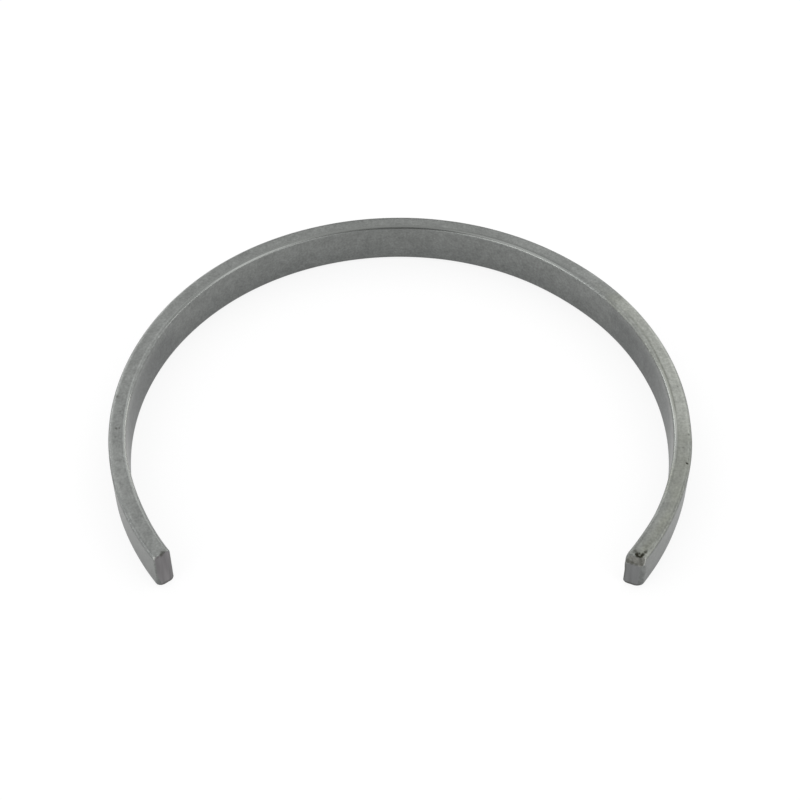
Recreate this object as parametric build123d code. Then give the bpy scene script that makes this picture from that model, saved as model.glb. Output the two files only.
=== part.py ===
from build123d import *
import math
import os

# Locating ring for a split bearing housing: one length of rolled steel bar with rounded
# long edges, bent flatwise into an open ring and sawn off at both ends. It lies on one
# side face at Z = 0, its axis is Z, its mouth opens towards -Y. Lengths are in
# millimetres and angles in degrees.

# The ring
seat_diameter = 150.0  # outside, which fills the bearing seat in the housing
ring_width = 12.5  # along the shaft, the broad side of the bar
bar_thickness = 4.7  # radial, the narrow side of the bar
long_edge_radius = 1.25  # all four rolled edges of the bar
mouth_angle = 105.0  # between the two ends, at the outside of the ring

# The ends
square_cut_skew = 0.0  # the -X end lies on a radius
skew_cut_skew = 15.0  # the +X end leans off the radius, its bore edge leading
end_edge_radius = 0.3  # the sharp edges of both cuts, worn off by tumbling

# Knocks in the upper edge of each end, where the bar was gripped for bending
knock_radius = 1.4  # of the rounded hollow
knock_depth = 0.45  # below the upper side face
square_end_knocks = [1.7, 2.9]  # distance of each knock in from the outside
skew_end_knocks = [1.4, 2.6]

seat_radius = seat_diameter / 2
bore_radius = seat_radius - bar_thickness
square_end_angle = 270 - mouth_angle / 2
skew_end_angle = -90 + mouth_angle / 2


def bar_section():
    """Rounded section of the bar, upright beside the ring's axis."""
    outline = RectangleRounded(bar_thickness, ring_width, long_edge_radius)
    return Plane.XZ * Pos(seat_radius - bar_thickness / 2, ring_width / 2) * outline


def bent_bar(spare):
    """Bar bent round the axis, longer than the ring by the spare length at each end."""
    spare_angle = math.degrees(spare / bore_radius)
    start = skew_end_angle - spare_angle
    sweep = square_end_angle + spare_angle - start
    return revolve(Rot(0, 0, start) * bar_section(), Axis.Z, sweep)


def cut_plane(end_angle, skew, to_mouth):
    """Plane of a saw cut, from the outside of the ring: X runs inwards, Z off the bar."""
    outward = Vector(1, 0, 0).rotate(Axis.Z, end_angle)
    onward = Vector(0, to_mouth, 0).rotate(Axis.Z, end_angle)
    lean = math.radians(skew)
    inward = onward * math.sin(lean) - outward * math.cos(lean)
    off_bar = onward * math.cos(lean) + outward * math.sin(lean)
    return Plane(origin=outward * seat_radius, x_dir=inward, z_dir=off_bar)


def sawn_off(cut, spare):
    """Waste beyond a saw cut, with room to spare on every side of the bar."""
    across = 2 * (bar_thickness + spare)
    upright = 4 * ring_width
    return cut * Box(across, upright, 3 * spare, align=(Align.CENTER, Align.CENTER, Align.MIN))


def end_face(ring, cut):
    """Face that a saw cut left on the ring."""
    return ring.faces().sort_by_distance(cut.origin + cut.x_dir * bar_thickness / 2
                                         + Vector(0, 0, ring_width / 2))[0]


def knock(cut, inward):
    """Round hollow that bites into the upper edge of an end."""
    above = ring_width - knock_depth + knock_radius
    return Pos(cut.origin + cut.x_dir * inward + Vector(0, 0, above)) * Sphere(knock_radius)


def locating_ring():
    """The whole ring: bent, sawn at both ends, tumbled, and knocked at the ends."""
    square_cut = cut_plane(square_end_angle, square_cut_skew, 1)
    skew_cut = cut_plane(skew_end_angle, skew_cut_skew, -1)
    widest_skew = max(abs(square_cut_skew), abs(skew_cut_skew))
    spare = bar_thickness * (1 + math.tan(math.radians(widest_skew)))
    ring = bent_bar(spare)
    for cut in (square_cut, skew_cut):
        ring -= sawn_off(cut, spare)
    cut_edges = end_face(ring, square_cut).edges() + end_face(ring, skew_cut).edges()
    ring = fillet(cut_edges, end_edge_radius)
    for inward in square_end_knocks:
        ring -= knock(square_cut, inward)
    for inward in skew_end_knocks:
        ring -= knock(skew_cut, inward)
    return ring


os.makedirs("parts", exist_ok=True)
export_step(locating_ring(), "parts/locating_ring.step")
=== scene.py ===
import itertools
import math

import bpy
import numpy as np
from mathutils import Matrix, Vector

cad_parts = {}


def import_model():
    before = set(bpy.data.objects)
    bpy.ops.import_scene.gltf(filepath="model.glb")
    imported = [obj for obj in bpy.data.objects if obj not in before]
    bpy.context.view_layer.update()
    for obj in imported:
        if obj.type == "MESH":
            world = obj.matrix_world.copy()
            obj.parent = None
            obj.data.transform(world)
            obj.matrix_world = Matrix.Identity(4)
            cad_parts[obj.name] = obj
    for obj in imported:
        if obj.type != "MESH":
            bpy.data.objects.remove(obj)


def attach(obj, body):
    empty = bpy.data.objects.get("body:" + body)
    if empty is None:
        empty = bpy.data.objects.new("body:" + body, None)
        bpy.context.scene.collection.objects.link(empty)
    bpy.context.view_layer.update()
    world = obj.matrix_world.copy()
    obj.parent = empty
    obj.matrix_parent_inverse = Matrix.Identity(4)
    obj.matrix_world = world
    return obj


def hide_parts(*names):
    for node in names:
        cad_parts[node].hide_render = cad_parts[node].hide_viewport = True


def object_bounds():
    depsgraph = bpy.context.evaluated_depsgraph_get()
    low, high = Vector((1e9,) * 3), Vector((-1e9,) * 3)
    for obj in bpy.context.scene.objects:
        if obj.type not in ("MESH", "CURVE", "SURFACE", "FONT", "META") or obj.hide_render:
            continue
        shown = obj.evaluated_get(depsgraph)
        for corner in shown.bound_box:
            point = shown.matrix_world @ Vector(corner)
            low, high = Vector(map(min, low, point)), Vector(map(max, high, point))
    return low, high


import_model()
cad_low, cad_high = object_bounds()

# A steel locating ring for a split bearing housing: rolled bar with rounded long edges, bent
# flatwise into an open ring, cut off at both ends and tumbled to a dull grey. Lengths on the
# ring are in millimetres and turned to metres when the mesh is written.
#
# The surface is worked out on the straight bar, before it is bent, in bar coordinates:
# along the bar from its middle (the +X end is negative), depth in from the outside of the
# ring, and height above the side face that it lies on. Places round the ring are in degrees
# from +X, so that its back is at 90. A pair of numbers is where a change starts and ends.

MM = 0.001

# The ring: its outside and its width are the frame's, and the rest is as on the solid
SEAT_RADIUS = cad_high.x / MM
RING_WIDTH = cad_high.z / MM
BAR_THICKNESS = 4.7
LONG_EDGE_RADIUS = 1.25
MOUTH_ANGLE = 105.0
SKEW_CUT_SKEW = 15.0
END_EDGE_RADIUS = 0.3

MID_RADIUS = SEAT_RADIUS - BAR_THICKNESS / 2
HALF_BAR = math.radians(360 - MOUTH_ANGLE) / 2 * MID_RADIUS
SQUARE, SKEW = 1, -1  # the end cuts, by the way that they face along the bar

# How finely the mesh follows the bar: the fine stretches, in degrees round the ring, have the
# ends and the pits in them
FACES_ACROSS_THICKNESS = 26
FACES_ACROSS_WIDTH = 56
FACES_ROUND_END_EDGE = 5
LONG_STEP = 1.0
FINE_STEP = 0.25
FINE_STRETCHES = [(-40, -33), (-14, -3), (6, 9), (174, 187), (213, 220)]

# Edges of the cuts that broke off or wore round: low at the outside of both, and along the
# top of the skew one
WORN_EDGE_RADIUS = 1.0
LOW_CORNER_DEPTHS = (0.3, 2.0)
LOW_CORNER_HEIGHTS = {SKEW: (8.0, 10.0), SQUARE: (1.0, 6.0)}
BROKEN_TOP_DEPTHS = (0.8, 1.8)
BROKEN_TOP_HEIGHTS = (RING_WIDTH - 2.5, RING_WIDTH - 0.6)

# What tumbling took off: a little everywhere, and unevenly, in waves of these sizes and heights
SKIN_LOSS = 0.005
WAVES = [(14.0, 0.012), (4.0, 0.007)]
EDGE_WAVE = (7.0, 0.01)  # along the rolled edges, which wear more

# Where bending left the ring out of round: degrees round it, half width in degrees, and how
# far the outside and the bore stand out from the round
BULGES = [
    (-10, 14, 0.22, 0.00), (48, 16, 0.00, -0.18), (130, 38, 0.31, 0.14), (199, 11, 0.08, -0.20),
    (-34, 8, 0.00, -0.15), (207, 10, 0.00, -0.20),
]
KEPT_DIAMETER = 6  # degrees from 0 and 180 within which the bulges fade, to keep the full width

# Burr on the bore side of the skew end
BURR_SIZE = 0.22
BURR_DEPTHS = (4.3, BAR_THICKNESS)
BURR_HEIGHT = 8.5
BURR_HALF_HEIGHTS = (1.0, 4.0)
BURR_LENGTH = 2.5

# The skew cut was sawn from below up to the torn height, and the rest was broken off
TORN_HEIGHT = 8.4
TORN_BORDER = 0.3
TORN_BORDER_WAVES = [(1.6, 0.6), (0.6, 0.3)]
TORN_RELIEF = 0.16
TORN_WAVES = [(1.3, 0.7), (0.5, 0.3)]  # sizes and shares of the relief
SAW_RELIEF = 0.02
SAW_LINE_SIZE = 0.5
UPRIGHT_LINES = (1.0, 1.0, 0.08)  # draws a pattern out upwards into lines

# Pits in the upper side face: depth in, degrees round the ring, width and depth of each
PITS = [
    (2.15, 183.6, 0.8, 0.07), (2.95, 183.5, 0.7, 0.05), (2.05, 185.8, 0.8, 0.03),
    (2.7, 179.0, 0.7, 0.04), (1.2, 175.1, 0.8, 0.05), (1.0, -12.5, 0.8, 0.14),
    (1.0, -5.1, 0.7, 0.05), (2.3, -8.6, 0.6, 0.04), (1.7, 7.7, 0.6, 0.04),
]
PIT_RAGGEDNESS = (0.3, 0.5)  # of an outline, here and below: share of its size, size of the lumps
DIRTY_PIT = 0.12  # depth from which a pit is full of dirt

# Knocks where the bar was gripped at its ends, as hollows: which end, how far back from the
# cut, depth in, and the half sizes along, across and down. All break the upper side face.
KNOCKS = [
    (SQUARE, 0.00, 2.3, (0.55, 0.70, 0.45)),
    (SQUARE, 0.25, 3.2, (0.55, 0.45, 0.30)),
    (SQUARE, 0.00, 1.4, (0.30, 0.40, 0.35)),
    (SQUARE, 0.20, 4.5, (0.90, 0.60, 0.35)),
    (SKEW, 0.40, 2.45, (0.70, 0.50, 0.45)),
    (SKEW, 0.85, 2.1, (0.40, 0.30, 0.20)),
    (SKEW, 0.00, 1.8, (0.45, 0.75, 0.45)),
    (SKEW, 0.55, 1.35, (0.65, 0.42, 0.45)),
    (SKEW, 1.75, 1.2, (0.50, 0.45, 0.20)),
    (SKEW, 1.10, 3.3, (0.30, 0.45, 0.20)),
    (SKEW, 3.40, 2.0, (0.60, 0.45, 0.08)),
]
KNOCK_RAGGEDNESS = (0.25, 0.7)

# Old dirt in and round the knocks, and painted shadow at the foot of both cuts: which end,
# how far back, depth in, height, the half sizes along, across and up, and how dark it is
DIRT_AND_SHADE = [
    (SQUARE, 0.00, 2.25, 11.9, (0.60, 0.55, 0.80), 0.62),
    (SQUARE, 0.15, 2.95, 12.4, (0.65, 0.50, 0.55), 0.55),
    (SQUARE, 0.00, 1.30, 11.7, (0.40, 0.40, 0.45), 0.35),
    # painted shadow at the foot of the square cut, where it meets the table
    (SQUARE, 0.00, 2.80, 0.3, (1.20, 3.20, 0.70), 0.35),
    (SKEW, 0.35, 2.50, 12.4, (0.80, 0.48, 0.70), 1.00),
    (SKEW, 0.85, 2.15, 12.5, (0.45, 0.34, 0.60), 0.80),
    (SKEW, 0.50, 1.35, 12.4, (0.80, 0.46, 0.70), 1.00),
    (SKEW, 0.10, 1.85, 11.9, (0.60, 0.85, 0.50), 1.00),
    (SKEW, 1.75, 1.17, 12.5, (0.58, 0.48, 0.50), 0.70),
    (SKEW, 1.12, 3.35, 12.5, (0.40, 0.45, 0.50), 0.55),
    (SKEW, 3.40, 2.00, 12.5, (0.90, 0.60, 0.50), 0.15),
    (SKEW, 0.00, 4.20, 8.9, (0.60, 0.50, 0.90), 0.50),
    (SKEW, 0.00, 3.10, 8.7, (0.60, 0.60, 0.60), 0.60),
    (SKEW, 0.00, 2.20, 8.6, (0.60, 0.50, 0.45), 0.50),
    (SKEW, 0.00, 1.30, 10.4, (0.60, 0.45, 1.20), 0.50),
    (SKEW, 0.00, 0.95, 9.2, (0.60, 0.45, 0.80), 0.55),
    # darker along the bore side of the skew cut
    (SKEW, 0.00, 4.60, 4.5, (0.60, 0.35, 4.50), 0.30),
    (SKEW, 0.30, 3.90, 12.2, (0.60, 0.50, 0.60), 0.22),
    # painted shadow at the foot of the skew cut, where it meets the table
    (SKEW, 0.00, 2.50, 0.3, (1.20, 3.00, 0.70), 0.60),
]
DIRT_AND_SHADE_BORDER = (0.55, 1.25)  # as shares of a patch's half sizes
DIRT_AND_SHADE_RAGGEDNESS = (0.3, 0.5)

# Painted highlights: corners of the cuts given a paler colour where they catch the light: which end,
# depth in, from and to height, size and how bright
PAINTED_GLINTS = [
    (SQUARE, 0.15, 12.0, 12.2, 0.8, 0.35), (SKEW, 0.10, 11.9, 12.3, 0.5, 0.9),
    (SKEW, 0.25, 9.4, 12.0, 0.45, 0.75),
]
GLINT_CORE = 0.3  # share of a glint's size that is at its brightest

# Stretches of the ring that look their own way, from and to degrees round it
STRETCH_FADE = 4  # degrees to either side of its ends over which a stretch comes and goes
STRETCH_RAGGEDNESS = (3.0, 3.0)  # of its ends: degrees, and size of the lumps
OILY = (-60, 37)  # the upper side face, under a yellower film, from the skew end on
PALE_PATCH = (-4, 35)  # the upper side face, paler over this stretch
PAINTED_LINE_STRETCH = (2, 32)  # painted shade: a dark line along the bore side of the pale patch, beside the edge's highlight
SHADED_BORE = [(0, 34), (150, 182)]  # the bore, darker with painted shade
POLISHED = [(-11, 15), (46, 156), (172, 225)]  # the bore's upper edge, where other rings slid on it
BRIGHT = (174, 200)  # the lower half of that edge, with a painted highlight, under a rougher half with painted shade
BORE_EDGE_SHADE_STRETCH = (14, 52)  # the same edge, darker with painted shade that tones down its highlight
EDGE_SHADE_STRETCH = (190, 225)  # the outside's upper edge, darker with painted shade where it mirrors the lights
REFLECTION_STRETCH = (-40, -31)  # the outside's upper edge, with a painted pale reflection and a painted dark line inside it

# Depths in at which those looks, painted highlights, painted shade and dark lines, lie on the edges
BRIGHT_DEPTHS = (4.05, 4.45)
ABOVE_BRIGHT_DEPTHS = (3.75, 4.2)
DARK_LINE_DEPTH = 3.8
DARK_LINE_HALF_WIDTHS = (0.1, 0.45)
PALE_REFLECTION_DEPTHS = (0.75, 1.0)
DARK_REFLECTION_DEPTH = 1.15
DARK_REFLECTION_HALF_WIDTHS = (0.08, 0.35)

# Degrees over which the painted dark line turns outwards, how far out it goes, and the share that it
# loses
DARK_LINE_TURN = (14, 24)
DARK_LINE_SHIFT = 0.5
DARK_LINE_LOSS = 0.4

# How far up a surface faces where each look begins and is full: 0 is a wall and 1 a side face
SIDE_FACE = (0.5, 0.95)
OILY_UP = (0.1, 0.6)
DARK_LINE_UP = (0.5, 0.9)
PALE_REFLECTION_UP = (0.4, 0.8)
MIRROR_UP = ((0.3, 0.6), (0.75, 0.92))  # where the edge mirrors the lights, under painted shade: it comes, and it goes

# The oily film is mottled: how much of it there is, how far that goes up and down, and in
# lumps of which size. It is worn thin towards the bore near the skew end.
OIL = 0.9
OIL_MOTTLE = 0.5
OIL_MOTTLE_SIZE = 5.0
WORN_OIL = 0.8
WORN_OIL_LENGTHS = (14, 32)
WORN_OIL_DEPTHS = (1.0, 4.2)

# Depths and heights over which the painted shade in the bore, the painted shade low on the walls
# and the painted shadow at their foot come and go
BORE_SHADE_DEPTHS = (4.0, 4.5)
BORE_SHADE_HEIGHTS = (8.0, 12.0)
WALL_SHADE_HEIGHTS = (0.0, 11.0)
FOOT_HEIGHTS = (0.5, 1.4)

# How strong these looks, all painted shade and painted highlight, are at most, where 1 is the full colour
OUTSIDE_EDGE_SHADE = 0.24
STRETCH_EDGE_SHADE = 0.7
BORE_EDGE_SHADE = 0.4
ROUGHER_AND_SHADED_ABOVE_BRIGHT = 0.8
BRIGHT_LINE = 0.5
PALE_REFLECTION = 0.65
WALL_SHADE = 0.7

# Patterns in the steel: size, detail, and how far the tone goes up and down with it. The
# dimples that tumbling leaves, their grain and the lines of a saw are about 0.1 mm wide, too
# fine to show, and so they are drawn coarser.
DIMPLES = (2.2, 3.0, 0.14)
DIMPLE_DEPTH = 0.012
GRAIN = (0.6, 1.0, 0.12)
CLOUDS = (7.0, 2.0, 0.05)
SQUARE_CUT_LINES = (1.1, 2.0, 0.14)
SKEW_CUT_LINES = (1.1, 2.0, 0.12)
CRUMBS = (0.7, 3.0, 0.25)
PATTERN_RANGE = (0.3, 0.7)  # where most of a random pattern's values lie

# Colours of the steel, and of what lies over the skin, in the order that it was laid
SKIN_COLOUR = "#787a78"
# Painted light among them: the wall, foot, edge and line tints are painted shade, the glint a painted
# highlight, and the pale tint in part a painted reflection
SKIN_TINTS = {
    "painted_wall_shade": "#656766", "painted_foot_shadow": "#525453", "oily": "#797b74", "pale_patch_and_highlight": "#898b86",
    "painted_edge_shade": "#646665", "painted_dark_line": "#72746e", "painted_highlight": "#b4b5b0",
}
SQUARE_CUT_COLOUR = "#787677"
SKEW_CUT_COLOUR = "#707171"
BROKEN_COLOUR = "#7a7a75"
DIRT_AND_SHADE_COLOUR = "#38382f"

# How rough each surface is, how much rougher the dirt and the painted shadow make it, and how much
# of the dimples is left where the skin is half polished or more
SKIN_ROUGHNESS = 0.42
POLISHED_ROUGHNESS = 0.24
SQUARE_CUT_ROUGHNESS = 0.45
SKEW_CUT_ROUGHNESS = 0.4
BROKEN_ROUGHNESS = 0.6
DIRT_AND_SHADE_ROUGHNESS = 0.4
POLISHED_DIMPLES = 0.1

# The white table: its size in metres, how much light it throws back, and how much of its white
# is its own
TABLE_SIZE = 6.0
TABLE_LIT = 0.14
TABLE_GLOW = 0.84

# Soft lights round the table, as the tumbled steel shows them: azimuth from the camera's side
# turning right, height above the table and half width, all in degrees, and strength
SOFT_LIGHTS = {
    "left back": (222, 38, 35, 1.8),
    "left front": (299, 38, 40, 1.6),
    "right front": (60, 30, 24, 1.5),
    "right back": (151, 35, 26, 2.0),
    "overhead": (82, 60, 70, 1.0),
}
ROOM_LIGHT = 0.2
WALL_LIGHTS = {-1: 5.15, 1: 3.2}  # white walls at the left and the right, by the way they lie
WALL_HEIGHT = 20.5  # degrees
WALL_FACING = 0.63  # share of a ray's way towards a wall at which the wall is at its brightest

# The camera, above and in front of the ring: its lens and sensor in millimetres, how far it
# looks down in degrees, and its place in metres
FOCAL_LENGTH = 81.0
SENSOR_WIDTH = 36.0
PITCH = 48.798
CAMERA_PLACE = (0.0000375, -0.3030225, 0.3644475)


def lumps(places, size, seed):
    """Smooth random relief from -1 to 1 at places in mm, with lumps of about this size."""
    count = 32  # lumps each way before they repeat
    lattice = np.random.default_rng(seed).uniform(-1, 1, (count, count, count))
    scaled = places / np.asarray(size, float)
    cell = np.floor(scaled).astype(int)
    part = scaled - cell
    part = part * part * (3 - 2 * part)
    total = np.zeros(len(places))
    for corner in itertools.product((0, 1), repeat=3):
        share = np.prod(np.where(corner, part, 1 - part), axis=1)
        x, y, z = ((cell + corner) % count).T
        total += share * lattice[x, y, z]
    return total


def waves(places, parts, seed):
    """Random relief of several sizes, each with its height or share, laid over each other."""
    return sum(most * lumps(places, size, seed + number) for number, (size, most) in enumerate(parts))


def ragged(points, share, size, seed):
    """Factor that makes an outline go in and out by a share of its size."""
    return 1 + share * lumps(points, size, seed)


def smooth_step(value, low, high):
    """0 below low, 1 above high, and an even rise between them."""
    share = np.clip((value - low) / (high - low), 0, 1)
    return share * share * (3 - 2 * share)


def degrees_round(along):
    """Degrees round the ring of places along the bar."""
    return 90 + np.degrees(along / MID_RADIUS)


def bar_outline():
    """Outline of the bar's section as depths and heights, with the outward direction at each
    point. It starts in the middle of the upper outside edge and turns towards the bore, with
    as many points on opposite sides, so that a grid of faces can close it."""
    points, outward = [], []
    corners = [(0, RING_WIDTH), (BAR_THICKNESS, RING_WIDTH), (BAR_THICKNESS, 0), (0, 0)]
    face_counts = [FACES_ACROSS_THICKNESS, FACES_ACROSS_WIDTH] * 2
    radius = LONG_EDGE_RADIUS
    arc = radius * math.pi / 4
    for faces, corner, onward in zip(face_counts, corners, corners[1:] + corners[:1]):
        corner, onward = np.array(corner, float), np.array(onward, float)
        length = np.linalg.norm(onward - corner)
        along = (onward - corner) / length
        out = np.array([-along[1], along[0]])
        flat = length - 2 * radius
        for at in np.arange(faces) * (2 * arc + flat) / faces:
            lean = max(at - arc - flat, 0) / radius - max(arc - at, 0) / radius
            way = out * math.cos(lean) + along * math.sin(lean)
            centre = corner + along * (radius + np.clip(at - arc, 0, flat)) - out * radius
            points.append(centre + way * radius)
            outward.append(way)
    return np.array(points), np.array(outward)


def cut_along(depth, end):
    """Where along the bar an end cut lies at a depth in. The bore edge of the skew cut leads
    towards the mouth."""
    skew = SKEW_CUT_SKEW if end == SKEW else 0.0
    lead = depth * math.tan(math.radians(skew))
    return end * (HALF_BAR + lead * MID_RADIUS / (SEAT_RADIUS - depth))


def end_radius(depth, height, end):
    """Radius that wear left on the edge of a cut."""
    low_corner = ((1 - smooth_step(depth, *LOW_CORNER_DEPTHS))
                  * (1 - smooth_step(height, *LOW_CORNER_HEIGHTS[end])))
    broken_top = ((end == SKEW) * smooth_step(height, *BROKEN_TOP_HEIGHTS)
                  * smooth_step(depth, *BROKEN_TOP_DEPTHS))
    return END_EDGE_RADIUS + np.maximum(low_corner, broken_top) * (WORN_EDGE_RADIUS - END_EDGE_RADIUS)


def stations():
    """Shares of the way along the bar, from the skew end to the square end, for its rings of
    points: close together in the fine stretches and wider elsewhere."""
    places = [-HALF_BAR]
    while places[-1] < HALF_BAR:
        degrees = degrees_round(places[-1])
        fine = any(start < degrees < stop for start, stop in FINE_STRETCHES)
        places.append(places[-1] + (FINE_STEP if fine else LONG_STEP))
    places = np.array(places)
    return (places - places[0]) / (places[-1] - places[0])


def bar_rings():
    """Rings of points from end to end, with the rounded edges of both cuts, and the outward
    direction at each point. All in bar coordinates."""
    outline, out = bar_outline()
    rings, outward = [], []

    def ring(share, turn, end):
        """One ring of points. Its turn, from 0 to a right angle, is how far round an end's
        edge it lies."""
        radius = end_radius(*outline.T, end)
        lost = radius * (1 - math.cos(turn)) + SKIN_LOSS
        depth, height = (outline - out * lost[:, None]).T
        start, stop = (cut_along(depth, e) - e * end_radius(*outline.T, e) for e in (SKEW, SQUARE))
        along = start + (stop - start) * share + end * radius * math.sin(turn)
        rings.append(np.stack([along, depth, height], -1))
        facing = np.full(len(out), end * math.sin(turn))
        outward.append(np.column_stack([facing, out * math.cos(turn)]))

    turns = np.linspace(0, math.pi / 2, FACES_ROUND_END_EDGE + 1)
    for turn in turns[::-1]:
        ring(0.0, turn, SKEW)
    for share in stations()[1:-1]:
        ring(share, 0.0, SQUARE)
    for turn in turns:
        ring(1.0, turn, SQUARE)
    return np.array(rings), np.array(outward)


def end_grid(edge, first, last):
    """Points inside the outline of a cut, and the faces of a grid that has its four sides on
    that outline. The outline's points are numbered from first, and the new ones from last."""
    nx, nz = FACES_ACROSS_THICKNESS, FACES_ACROSS_WIDTH
    index = np.zeros((nx + 1, nz + 1), int)
    index[:, 0] = np.arange(nx + 1)
    index[nx, :] = nx + np.arange(nz + 1)
    index[:, nz] = 2 * nx + nz - np.arange(nx + 1)
    index[0, :] = -np.arange(nz + 1) % len(edge)
    top, bottom, seat, bore = (edge[index[side]] for side in
                               (np.s_[:, 0], np.s_[:, nz], np.s_[0, :], np.s_[nx, :]))
    u, v = np.meshgrid(np.arange(1, nx) / nx, np.arange(1, nz) / nz, indexing="ij")
    u, v = u[..., None], v[..., None]
    inner = ((1 - v) * top[1:nx, None] + v * bottom[1:nx, None]
             + (1 - u) * seat[None, 1:nz] + u * bore[None, 1:nz]
             - (1 - u) * (1 - v) * top[0] - u * (1 - v) * top[nx]
             - (1 - u) * v * bottom[0] - u * v * bottom[nx])
    index += first
    index[1:nx, 1:nz] = last + np.arange((nx - 1) * (nz - 1)).reshape(nx - 1, nz - 1)
    faces = np.stack([index[:-1, :-1], index[1:, :-1], index[1:, 1:], index[:-1, 1:]], -1)
    return inner.reshape(-1, 3), faces.reshape(-1, 4)


def whole_bar():
    """Places and outward directions of the bar's points with both cuts, and its faces in
    three groups: its skin, the skew cut and the square cut."""
    rings, outward = bar_rings()
    ring_count, count = rings.shape[:2]
    number = np.arange(ring_count * count).reshape(ring_count, count)
    onward = np.roll(number, -1, axis=1)
    skin = np.stack([number[:-1], number[1:], onward[1:], onward[:-1]], -1).reshape(-1, 4)
    places, facing = rings.reshape(-1, 3), outward.reshape(-1, 3)
    groups = [skin]
    for end, ring in ((SKEW, 0), (SQUARE, ring_count - 1)):
        inner, faces = end_grid(rings[ring], ring * count, len(places))
        groups.append(faces if end == SKEW else faces[:, ::-1])
        places = np.vstack([places, inner])
        facing = np.vstack([facing, np.tile([end, 0.0, 0.0], (len(inner), 1))])
    return places, facing, groups


def edge_share(depth, height):
    """How far round a rolled long edge a point lies: 0 on the flats and 1 in the middle."""
    in_depth = np.clip(LONG_EDGE_RADIUS - np.minimum(depth, BAR_THICKNESS - depth), 0, None)
    in_height = np.clip(LONG_EDGE_RADIUS - np.minimum(height, RING_WIDTH - height), 0, None)
    round_part = (in_depth > 0) & (in_height > 0)
    return np.where(round_part, np.sin(2 * np.arctan2(in_height, in_depth)), 0.0)


def torn_share(places, facing):
    """1 on the broken upper part of the skew cut, with a ragged border, and 0 elsewhere."""
    height = places[:, 2] + waves(places, TORN_BORDER_WAVES, seed=21)
    above = smooth_step(height, TORN_HEIGHT - TORN_BORDER, TORN_HEIGHT + TORN_BORDER)
    return above * np.clip(-facing[:, 0], 0, 1)


def bulge(along, depth):
    """How far out from the round the ring stands at places along the bar and depths in."""
    degrees = degrees_round(along)
    out = np.zeros(len(along))
    for middle, half, outside, bore in BULGES:
        share = 1 - smooth_step(abs(degrees - middle), 0, half)
        out += share * (outside + (bore - outside) * np.clip(depth / BAR_THICKNESS, 0, 1))
    from_diameter = np.abs(np.sin(np.radians(degrees)))
    return out * np.clip(from_diameter / math.sin(math.radians(KEPT_DIAMETER)), 0, 1)


def worn(places, facing, torn):
    """Takes off what rolling, sawing, breaking and tumbling left uneven, puts the ring out of
    round and raises the burr."""
    depth, height = places[:, 1], places[:, 2]
    loss = sum(most for _, most in WAVES) + waves(places, WAVES, seed=0)
    size, most = EDGE_WAVE
    loss += edge_share(depth, height) * most * np.clip(lumps(places, size, seed=5), 0, 1)
    saw_lines = lumps(places * UPRIGHT_LINES, SAW_LINE_SIZE, seed=11)
    loss += np.abs(facing[:, 0]) * SAW_RELIEF * (1 + saw_lines)
    loss += torn * TORN_RELIEF * (1 + waves(places, TORN_WAVES, seed=12))
    points = places - facing * loss[:, None]
    points[:, 1] -= bulge(points[:, 0], depth)

    bore_corner = cut_along(BAR_THICKNESS, SKEW)
    points[:, 1] += (BURR_SIZE * smooth_step(depth, *BURR_DEPTHS)
                     * (1 - smooth_step(abs(height - BURR_HEIGHT), *BURR_HALF_HEIGHTS))
                     * smooth_step(points[:, 0], bore_corner + BURR_LENGTH, bore_corner))
    return points


def pitted(points, places):
    """Digs the small pits, and gives the dirt in them."""
    points, dirt_and_shade = points.copy(), np.zeros(len(points))
    depth, height = places[:, 1], places[:, 2]
    for pit_depth, degrees, width, deep in PITS:
        along = math.radians(degrees - 90) * MID_RADIUS
        half = width / 2 * ragged(points, *PIT_RAGGEDNESS, seed=31)
        away = np.hypot(points[:, 0] - along, depth - pit_depth) / half
        bowl = np.clip(1 - away ** 2, 0, 1) * (height > RING_WIDTH / 2)
        points[:, 2] -= deep * bowl
        dirt_and_shade = np.maximum(dirt_and_shade, np.sqrt(bowl) * deep / DIRTY_PIT)
    return points, np.clip(dirt_and_shade, 0, 1)


def knocked(points):
    """Presses the knocks at the ends into the bar. A point inside a hollow goes down to its
    floor, so the hollow keeps a crisp rim, as a real knock does."""
    points = points.copy()
    for number, (end, back, across, half) in enumerate(KNOCKS):
        centre = np.array([cut_along(across, end) - end * back, across, RING_WIDTH])
        offset = (points - centre) / np.array(half)
        flat = ((offset[:, 0] ** 2 + offset[:, 1] ** 2)
                / ragged(points, *KNOCK_RAGGEDNESS, seed=40 + number) ** 2)
        hollow = RING_WIDTH - half[2] * np.sqrt(np.clip(1 - flat, 0, 1))
        points[:, 2] -= np.clip(points[:, 2] - hollow, 0, None) * (flat < 1)
    return points


def dirtied_and_shaded(points, dirt_and_shade):
    """Lays the dirt round the knocks, before they are pressed, and the painted shadow at the foot of the
    cuts, over the dirt in the pits.
    """
    outline = ragged(points, *DIRT_AND_SHADE_RAGGEDNESS, seed=61)
    for end, back, across, height, half, dark in DIRT_AND_SHADE:
        centre = np.array([cut_along(across, end) - end * back, across, height])
        away = np.linalg.norm((points - centre) / np.array(half), axis=1) / outline
        dirt_and_shade = np.maximum(dirt_and_shade, dark * (1 - smooth_step(away, *DIRT_AND_SHADE_BORDER)))
    return dirt_and_shade


def stretch(places, degrees):
    """1 along a stretch of the ring, with ragged ends, and 0 elsewhere."""
    shift, size = STRETCH_RAGGEDNESS
    at = degrees_round(places[:, 0]) + shift * lumps(places, size, seed=51)
    start, stop = (smooth_step(at, end - STRETCH_FADE, end + STRETCH_FADE) for end in degrees)
    return start * (1 - stop)


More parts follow.
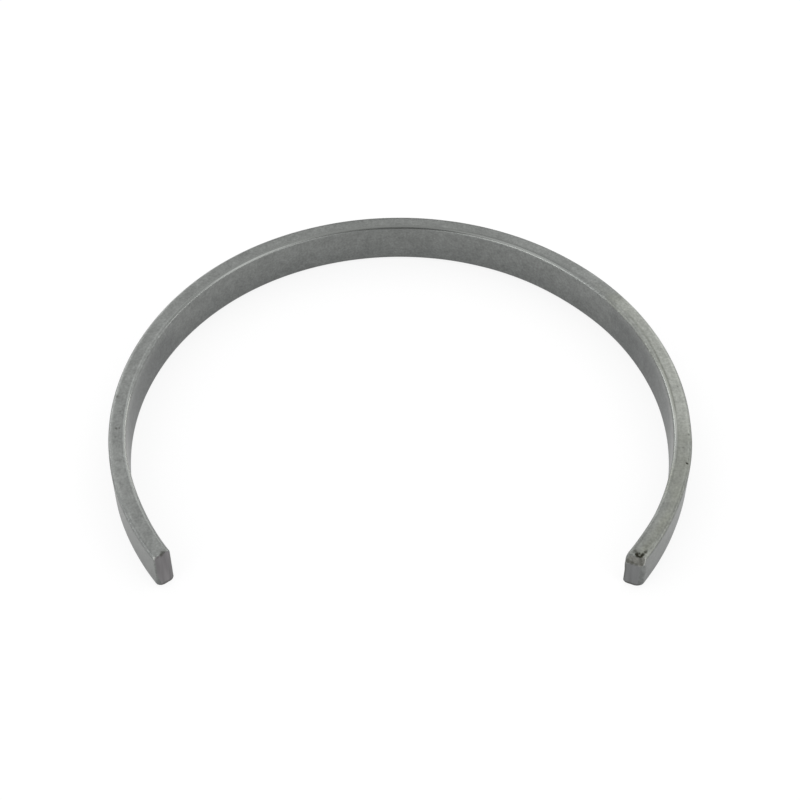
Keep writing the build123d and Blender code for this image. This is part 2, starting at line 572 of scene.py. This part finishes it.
def painted_glints(places):
    """1 on the corners of the cuts where a highlight is painted, and 0 elsewhere."""
    along, depth, height = places.T
    bright = np.zeros(len(places))
    for end, middle, low, high, size, most in PAINTED_GLINTS:
        upright = height - np.clip(height, low, high)
        away = np.sqrt((along - cut_along(middle, end)) ** 2 + (depth - middle) ** 2 + upright ** 2)
        bright = np.maximum(bright, most * (1 - smooth_step(away, GLINT_CORE * size, size)))
    return bright


def line(depth, middle, half_widths):
    """1 along a line at a depth in, and 0 elsewhere."""
    return 1 - smooth_step(abs(depth - middle), *half_widths)


def skin_masks(places, facing):
    """How much of each look the skin has at every point, from 0 to 1. Most looks are painted highlights,
    painted shade and painted shadow.
    """
    along, depth, height = places.T
    up = facing[:, 2]
    side_face = smooth_step(up, *SIDE_FACE)

    edge = edge_share(depth, height) * (1 - np.abs(facing[:, 0]))
    bright = stretch(places, BRIGHT)
    # above the brightest line the edge is rougher and takes painted shade; the bright line is a painted
    # highlight
    above_bright = ROUGHER_AND_SHADED_ABOVE_BRIGHT * bright * (1 - smooth_step(depth, *ABOVE_BRIGHT_DEPTHS))
    rubbed_edge = edge * (depth > BAR_THICKNESS / 2) * sum(stretch(places, part) for part in POLISHED)
    bright_line = BRIGHT_LINE * rubbed_edge ** 2 * smooth_step(depth, *BRIGHT_DEPTHS) * bright
    polished = rubbed_edge * (1 - above_bright)
    rising, ending = (smooth_step(up, *part) for part in MIRROR_UP)
    # painted shade that tones down the highlights on the outside's and the bore's edges
    stretch_edge_shade = STRETCH_EDGE_SHADE * rising * (1 - ending) * stretch(places, EDGE_SHADE_STRETCH)
    outside_edge_shade = np.maximum(OUTSIDE_EDGE_SHADE * edge, stretch_edge_shade)
    bore_edge_shade = edge * np.maximum(BORE_EDGE_SHADE * stretch(places, BORE_EDGE_SHADE_STRETCH), above_bright)

    near_skew_end = 1 - smooth_step(along - cut_along(0, SKEW), *WORN_OIL_LENGTHS)
    oil_left = 1 - WORN_OIL * near_skew_end * smooth_step(depth, *WORN_OIL_DEPTHS)
    mottled = OIL + OIL_MOTTLE * lumps(places, OIL_MOTTLE_SIZE, seed=71)
    oily = smooth_step(up, *OILY_UP) * stretch(places, OILY) * mottled * oil_left * (1 - polished)

    turned = smooth_step(degrees_round(along), *DARK_LINE_TURN)
    painted_dark_line = (line(depth, DARK_LINE_DEPTH - DARK_LINE_SHIFT * turned, DARK_LINE_HALF_WIDTHS)
            * smooth_step(up, *DARK_LINE_UP) * stretch(places, PAINTED_LINE_STRETCH) * (1 - DARK_LINE_LOSS * turned))
    # painted reflections on the outside's upper edge: a pale band and a dark line
    reflecting = stretch(places, REFLECTION_STRETCH)
    painted_dark_reflection = line(depth, DARK_REFLECTION_DEPTH, DARK_REFLECTION_HALF_WIDTHS) * reflecting * side_face
    painted_pale_reflection = (PALE_REFLECTION * reflecting * smooth_step(up, *PALE_REFLECTION_UP)
                  * (1 - smooth_step(depth, *PALE_REFLECTION_DEPTHS)))

    # painted shade: the bore's walls darker at the sides, and all walls darker towards the bottom
    in_bore = smooth_step(depth, *BORE_SHADE_DEPTHS) * (1 - smooth_step(height, *BORE_SHADE_HEIGHTS))
    painted_wall_shade = np.maximum(WALL_SHADE * (1 - smooth_step(height, *WALL_SHADE_HEIGHTS)),
                      in_bore * sum(stretch(places, part) for part in SHADED_BORE))
    return {
        "bore_edge": polished,
        "painted_edge_shade": np.where(depth < BAR_THICKNESS / 2, outside_edge_shade, bore_edge_shade),
        "oily": oily,
        "painted_dark_line": np.maximum(painted_dark_line, painted_dark_reflection),
        "pale_patch_and_highlight": np.maximum(side_face * stretch(places, PALE_PATCH), painted_pale_reflection),
        "painted_wall_shade": (1 - side_face) * painted_wall_shade,
        # painted shadow along the lower edge, where the ring meets the table
        "painted_foot_shadow": 1 - smooth_step(height, *FOOT_HEIGHTS),
        "painted_highlight": np.maximum(painted_glints(places), bright_line),
    }


def to_world(points):
    """Bends straight bar coordinates round the ring's axis, in metres."""
    along, depth, height = points.T
    angle = math.pi / 2 + along / MID_RADIUS
    radius = SEAT_RADIUS - depth
    return np.stack([radius * np.cos(angle), radius * np.sin(angle), height], -1) * MM


def build_ring():
    """The whole ring as one mesh, with the masks that its materials read."""
    places, facing, groups = whole_bar()
    torn = torn_share(places, facing)
    points, dirt_and_shade = pitted(worn(places, facing, torn), places)
    dirt_and_shade = dirtied_and_shaded(points, dirt_and_shade)
    points = knocked(points)

    mesh = bpy.data.meshes.new("locating_ring_bar")
    mesh.from_pydata(to_world(points).tolist(), [], np.vstack(groups).tolist())
    mesh.polygons.foreach_set("use_smooth", [True] * len(mesh.polygons))
    for material in (tumbled_skin(), torn_cut(), sawn_cut()):
        mesh.materials.append(material)
    slots = np.repeat([0, 1, 2], [len(group) for group in groups])
    mesh.polygons.foreach_set("material_index", slots)

    place = mesh.attributes.new("bar_place", "FLOAT_VECTOR", "POINT")
    place.data.foreach_set("vector", places.astype(np.float32).ravel())
    masks = skin_masks(places, facing) | {"dirt_and_shade": dirt_and_shade, "torn": torn}
    for name, values in masks.items():
        share = mesh.attributes.new(name, "FLOAT", "POINT")
        share.data.foreach_set("value", values.astype(np.float32))
    mesh.validate(verbose=True)
    made = bpy.data.objects.new("ring_bar", mesh)
    bpy.context.scene.collection.objects.link(made)
    return made


def linear(hex_colour):
    """An sRGB hex colour as linear red, green, blue and alpha."""
    parts = [int(hex_colour[i:i + 2], 16) / 255 for i in (1, 3, 5)]
    return [c / 12.92 if c <= 0.04045 else ((c + 0.055) / 1.055) ** 2.4 for c in parts] + [1.0]


def add(tree, kind, inputs=None, **settings):
    """Adds a node with its settings. An input is a value, or the socket that feeds it."""
    node = tree.nodes.new("ShaderNode" + kind)
    for name, value in settings.items():
        setattr(node, name, value)
    for name, value in (inputs or {}).items():
        if isinstance(value, bpy.types.NodeSocket):
            tree.links.new(value, node.inputs[name])
        else:
            node.inputs[name].default_value = value
    return node


def empty_tree(owner):
    """The node tree of a new material or world, without its first nodes."""
    owner.use_nodes = True
    owner.node_tree.nodes.clear()
    return owner.node_tree


def mask(tree, name, kind="Fac"):
    """What the mesh holds at every point under this name."""
    return add(tree, "Attribute", attribute_name=name).outputs[kind]


def steel(name):
    """A new material, its tree, and the bar coordinates that its patterns follow."""
    material = bpy.data.materials.new(name)
    tree = empty_tree(material)
    return material, tree, mask(tree, "bar_place", "Vector")


def uneven(tree, place, size, detail, amount, **inputs):
    """A random pattern of a size, and a tone that it takes up and down by an amount."""
    noise = add(tree, "TexNoise", {"Vector": place, "Scale": 1 / size, "Detail": detail,
                                   **inputs}).outputs["Fac"]
    low, high = PATTERN_RANGE
    tone = add(tree, "MapRange", {"Value": noise, "From Min": low, "From Max": high,
                                  "To Min": 1 - amount, "To Max": 1 + amount}).outputs[0]
    return noise, tone


def saw_lines(tree, place, pattern):
    """Tone of the upright lines that a saw left."""
    drawn_out = add(tree, "VectorMath", {0: place, 1: UPRIGHT_LINES}, operation="MULTIPLY")
    return uneven(tree, drawn_out.outputs[0], *pattern)[1]


def bare_steel(tree, colour, tone, roughness, **inputs):
    """Metal of a colour and a tone, under the dirt and the painted shadow that lie on it."""
    toned = add(tree, "VectorMath", {0: colour, "Scale": tone}, operation="SCALE").outputs[0]
    dirty = add(tree, "Mix", {0: mask(tree, "dirt_and_shade"), 6: toned, 7: linear(DIRT_AND_SHADE_COLOUR)},
                data_type="RGBA").outputs[2]
    metal = add(tree, "BsdfPrincipled", {"Base Color": dirty, "Metallic": 1.0,
                                         "Roughness": roughness, **inputs})
    add(tree, "OutputMaterial", {"Surface": metal.outputs["BSDF"]})


def tumbled_skin():
    """Rolled steel, tumbled in a drum with other rings: an even, dull grey with soft cloudy
    dimples and a trace of oil. The bore's edge, which other rings rubbed, is smooth and
    mirrors the lights in a sharp line, over a painted highlight. Painted shade darkens the
    walls and parts of the edges, and a painted shadow their foot."""
    material, tree, place = steel("tumbled_rolled_steel")
    colour = linear(SKIN_COLOUR)
    for name, tint in SKIN_TINTS.items():
        colour = add(tree, "Mix", {0: mask(tree, name), 6: colour, 7: linear(tint)},
                     data_type="RGBA").outputs[2]

    dimples, tone = uneven(tree, place, *DIMPLES, Roughness=0.8)
    for pattern in (CLOUDS, GRAIN):
        other = uneven(tree, place, *pattern)[1]
        tone = add(tree, "Math", {0: tone, 1: other}, operation="MULTIPLY").outputs[0]
    polished = mask(tree, "bore_edge")
    tone = add(tree, "Mix", {0: polished, 2: tone, 3: 1.0}, data_type="FLOAT").outputs[0]

    smooth = add(tree, "MapRange", {"Value": polished, "To Min": SKIN_ROUGHNESS,
                                    "To Max": POLISHED_ROUGHNESS}).outputs[0]
    dull = add(tree, "MapRange", {"Value": mask(tree, "dirt_and_shade"), "To Min": 0.0,
                                  "To Max": DIRT_AND_SHADE_ROUGHNESS}).outputs[0]
    roughness = add(tree, "Math", {0: smooth, 1: dull}, operation="ADD").outputs[0]
    dented = add(tree, "MapRange", {"Value": polished, "From Max": 0.5, "To Min": 1.0,
                                    "To Max": POLISHED_DIMPLES}).outputs[0]
    bump = add(tree, "Bump", {"Height": dimples, "Strength": dented, "Distance": DIMPLE_DEPTH * MM})
    bare_steel(tree, colour, tone, roughness, Normal=bump.outputs[0])
    return material


def sawn_cut():
    """The square cut: steel sawn bare, a little purple beside the skin, with faint upright
    lines."""
    material, tree, place = steel("sawn_steel")
    tone = saw_lines(tree, place, SQUARE_CUT_LINES)
    bare_steel(tree, linear(SQUARE_CUT_COLOUR)[:3], tone, SQUARE_CUT_ROUGHNESS)
    return material


def torn_cut():
    """The skew cut: sawn steel below, with faint upright lines, and above it steel that broke
    off, crumbly, rougher and stained."""
    material, tree, place = steel("torn_steel")
    torn = mask(tree, "torn")
    crumbs = uneven(tree, place, *CRUMBS)[1]
    lines = saw_lines(tree, place, SKEW_CUT_LINES)
    tone = add(tree, "Mix", {0: torn, 2: lines, 3: crumbs}, data_type="FLOAT").outputs[0]
    colour = add(tree, "Mix", {0: torn, 6: linear(SKEW_CUT_COLOUR), 7: linear(BROKEN_COLOUR)},
                 data_type="RGBA").outputs[2]
    roughness = add(tree, "MapRange", {"Value": torn, "To Min": SKEW_CUT_ROUGHNESS,
                                       "To Max": BROKEN_ROUGHNESS}).outputs[0]
    bare_steel(tree, colour, tone, roughness)
    return material


def seen_rays(tree, *kinds):
    """1 for rays of any of these kinds, and 0 for the rest."""
    ray = add(tree, "LightPath").outputs
    seen = ray[kinds[0]]
    for kind in kinds[1:]:
        seen = add(tree, "Math", {0: seen, 1: ray[kind]}, operation="MAXIMUM").outputs[0]
    return seen


def floor():
    """White table, matt: part of its white is its own, so that the ring's shadow stays soft."""
    bpy.ops.mesh.primitive_plane_add(size=TABLE_SIZE)
    plane = bpy.context.object
    plane.name = "floor"
    material = bpy.data.materials.new("white_table")
    tree = empty_tree(material)
    lit = add(tree, "BsdfDiffuse", {"Color": (TABLE_LIT, TABLE_LIT, TABLE_LIT, 1)})
    seen = seen_rays(tree, "Is Camera Ray", "Is Glossy Ray", "Is Transmission Ray")
    share = add(tree, "Math", {0: seen, 1: TABLE_GLOW}, operation="MULTIPLY")
    glow = add(tree, "Emission", {"Color": (1, 1, 1, 1), "Strength": share.outputs[0]})
    both = add(tree, "AddShader", {0: lit.outputs[0], 1: glow.outputs[0]})
    add(tree, "OutputMaterial", {"Surface": both.outputs[0]})
    plane.data.materials.append(material)


def world():
    """A dim room with white walls at its sides and soft lights round the table. Straight and
    through glass it looks white, and the steel mirrors the room itself."""
    made = bpy.data.worlds.new("studio")
    tree = empty_tree(made)
    way = add(tree, "TexCoord").outputs["Generated"]

    def towards(aim, start, full, low, high):
        """A value that changes smoothly as a ray's way comes nearer to the aim."""
        near = add(tree, "VectorMath", {0: way, 1: aim}, operation="DOT_PRODUCT").outputs["Value"]
        return add(tree, "MapRange", {"Value": near, "From Min": start, "From Max": full, "To Min": low,
                                      "To Max": high}, interpolation_type="SMOOTHSTEP").outputs[0]

    low_down = towards((0, 0, 1), 0.0, math.sin(math.radians(WALL_HEIGHT)), 1.0, 0.0)
    total = ROOM_LIGHT
    for side, strength in WALL_LIGHTS.items():
        beside = towards((side, 0, 0), 0.0, WALL_FACING, 0.0, strength)
        total = add(tree, "Math", {0: beside, 1: low_down, 2: total}, operation="MULTIPLY_ADD").outputs[0]
    for azimuth, height, half_width, strength in SOFT_LIGHTS.values():
        a, h, w = (math.radians(x) for x in (azimuth, height, half_width))
        aim = (math.sin(a) * math.cos(h), -math.cos(a) * math.cos(h), math.sin(h))
        light = towards(aim, math.cos(w), 1.0, 0.0, strength)
        total = add(tree, "Math", {0: light, 1: total}, operation="ADD").outputs[0]
    seen = seen_rays(tree, "Is Camera Ray", "Is Transmission Ray")
    shown = add(tree, "Mix", {0: seen, 2: total, 3: 1.0}, data_type="FLOAT").outputs[0]
    back = add(tree, "Background", {"Color": (1, 1, 1, 1), "Strength": shown})
    add(tree, "OutputWorld", {"Surface": back.outputs[0]})
    bpy.context.scene.world = made


def camera():
    """The camera, at the photograph's place."""
    data = bpy.data.cameras.new("camera")
    data.sensor_width = SENSOR_WIDTH
    data.lens = FOCAL_LENGTH
    made = bpy.data.objects.new("camera", data)
    made.location = CAMERA_PLACE
    made.rotation_euler = (math.radians(90 - PITCH), 0, 0)
    bpy.context.scene.collection.objects.link(made)
    bpy.context.scene.camera = made


ring = build_ring()
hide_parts("locating_ring")
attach(ring, "root")

floor()
world()
camera()
bpy.context.scene.view_settings.view_transform = "Standard"
